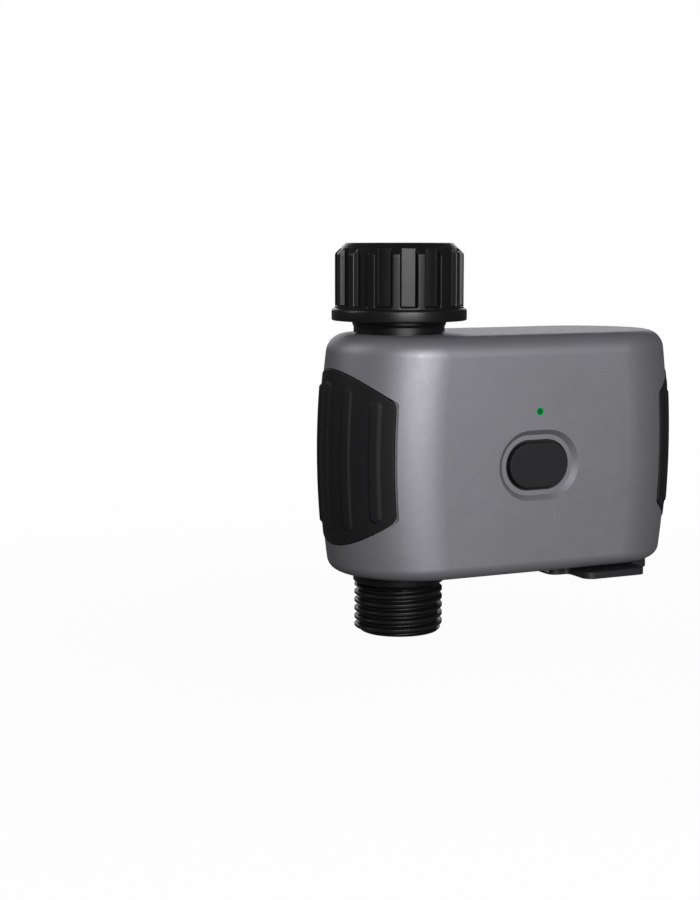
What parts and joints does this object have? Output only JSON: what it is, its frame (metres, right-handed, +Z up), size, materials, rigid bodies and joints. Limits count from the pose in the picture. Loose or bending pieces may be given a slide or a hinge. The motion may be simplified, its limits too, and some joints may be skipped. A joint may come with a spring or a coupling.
{
  "type": "smart water valve",
  "caption": "Garden-tap water valve: oblong housing hung from a ribbed swivel nut, threaded outlet, push button, side grips, motorised ball valve and pull-down battery tray.",
  "frame": {"origin": "on the valve's axis, at the inlet washer's sealing face inside the swivel nut", "axes": "+Z up along the inlet's axis, out of the nut's mouth; +X along the housing, away from the valve; +Y to the back"},
  "size_m": [0.116, 0.0523, 0.1157],
  "materials": {
    "housing": "fine-grained satin moulding, metallic grey",
    "grip": "soft satin elastomer",
    "black_plastic": "satin glass-filled nylon",
    "tray_plastic": "satin",
    "button": "matt silicone",
    "seal": "matt",
    "white_plastic": "satin",
    "inner_plastic": "satin",
    "gear": "natural acetal",
    "ball": "polished plated brass",
    "brass": "turned",
    "can": "drawn steel",
    "screw": "turned stainless steel",
    "contact": "nickel-plated spring steel",
    "board": "solder mask",
    "light": "clear green lens",
    "cell": "plain sleeve over a metal can, unprinted"
  },
  "bodies": {
    "housing": {"front_shell": "housing", "rear_cover": "housing", "shell_gasket": "seal", "cover_screws": "screw", "left_grip": "grip", "right_grip": "grip", "inlet_tailpiece": "black_plastic", "inlet_washer": "seal", "filter_screen": "white_plastic", "neck_collar": "black_plastic", "inlet_o_ring": "seal", "valve_body": "black_plastic", "ball_seats": "white_plastic", "outlet_spigot": "black_plastic", "outlet_o_ring": "seal", "gearbox_case": "inner_plastic", "gearbox_lid": "inner_plastic", "gearbox_screws": "screw", "gear_pins": "screw", "motor": "can", "button_seal": "seal", "light_pipe": "light", "circuit_board": "board", "board_screws": "screw", "tact_switch": "black_plastic", "status_light_chip": "light", "radio_module": "can", "battery_well": "inner_plastic", "terminal_blades": "contact"},
    "nut": {"swivel_nut": "black_plastic"},
    "ball": {"valve_ball": "ball", "ball_stem": "brass", "stem_o_ring": "seal", "output_gear": "gear"},
    "second_gear": {"second_gear": "gear"},
    "first_gear": {"first_gear": "gear"},
    "motor_shaft": {"motor_pinion": "brass"},
    "button": {"push_button": "button"},
    "tray": {"battery_tray": "tray_plastic", "tray_contacts": "contact", "battery_cells": "cell", "tray_cover": "tray_plastic", "cover_gasket": "seal"}
  },
  "joints": [
    {"name": "nut_spin", "type": "hinge", "parent": "housing", "child": "nut", "pos_m": [0, 0, 0], "axis": [0, 0, 1], "continuous": true},
    {"name": "ball_turn", "type": "hinge", "parent": "housing", "child": "ball", "pos_m": [0.02, 0, -0.048], "axis": [1, 0, 0], "range_deg": [0, 90]},
    {"name": "second_gear_turn", "type": "hinge", "parent": "housing", "child": "second_gear", "pos_m": [0.022, 0.004, -0.05878], "axis": [1, 0, 0], "range_deg": [-324, 0]},
    {"name": "first_gear_turn", "type": "hinge", "parent": "housing", "child": "first_gear", "pos_m": [0.024, -0.004, -0.06478], "axis": [1, 0, 0], "range_deg": [0, 972]},
    {"name": "motor_turn", "type": "hinge", "parent": "housing", "child": "motor_shaft", "pos_m": [0.028, 0.004, -0.07078], "axis": [1, 0, 0], "range_deg": [-2916, 0]},
    {"name": "button_press", "type": "slide", "parent": "housing", "child": "button", "axis": [0, 1, 0], "range_m": [0, 0.0008], "stiffness_N_per_m": 1200},
    {"name": "tray_pull", "type": "slide", "parent": "housing", "child": "tray", "axis": [0, 0, -1], "range_m": [0, 0.062]}
  ],
  "couplings": [
    {"joint": "second_gear_turn", "follows": "ball_turn", "ratio": -3.6},
    {"joint": "first_gear_turn", "follows": "ball_turn", "ratio": 10.8},
    {"joint": "motor_turn", "follows": "ball_turn", "ratio": -32.4}
  ]
}
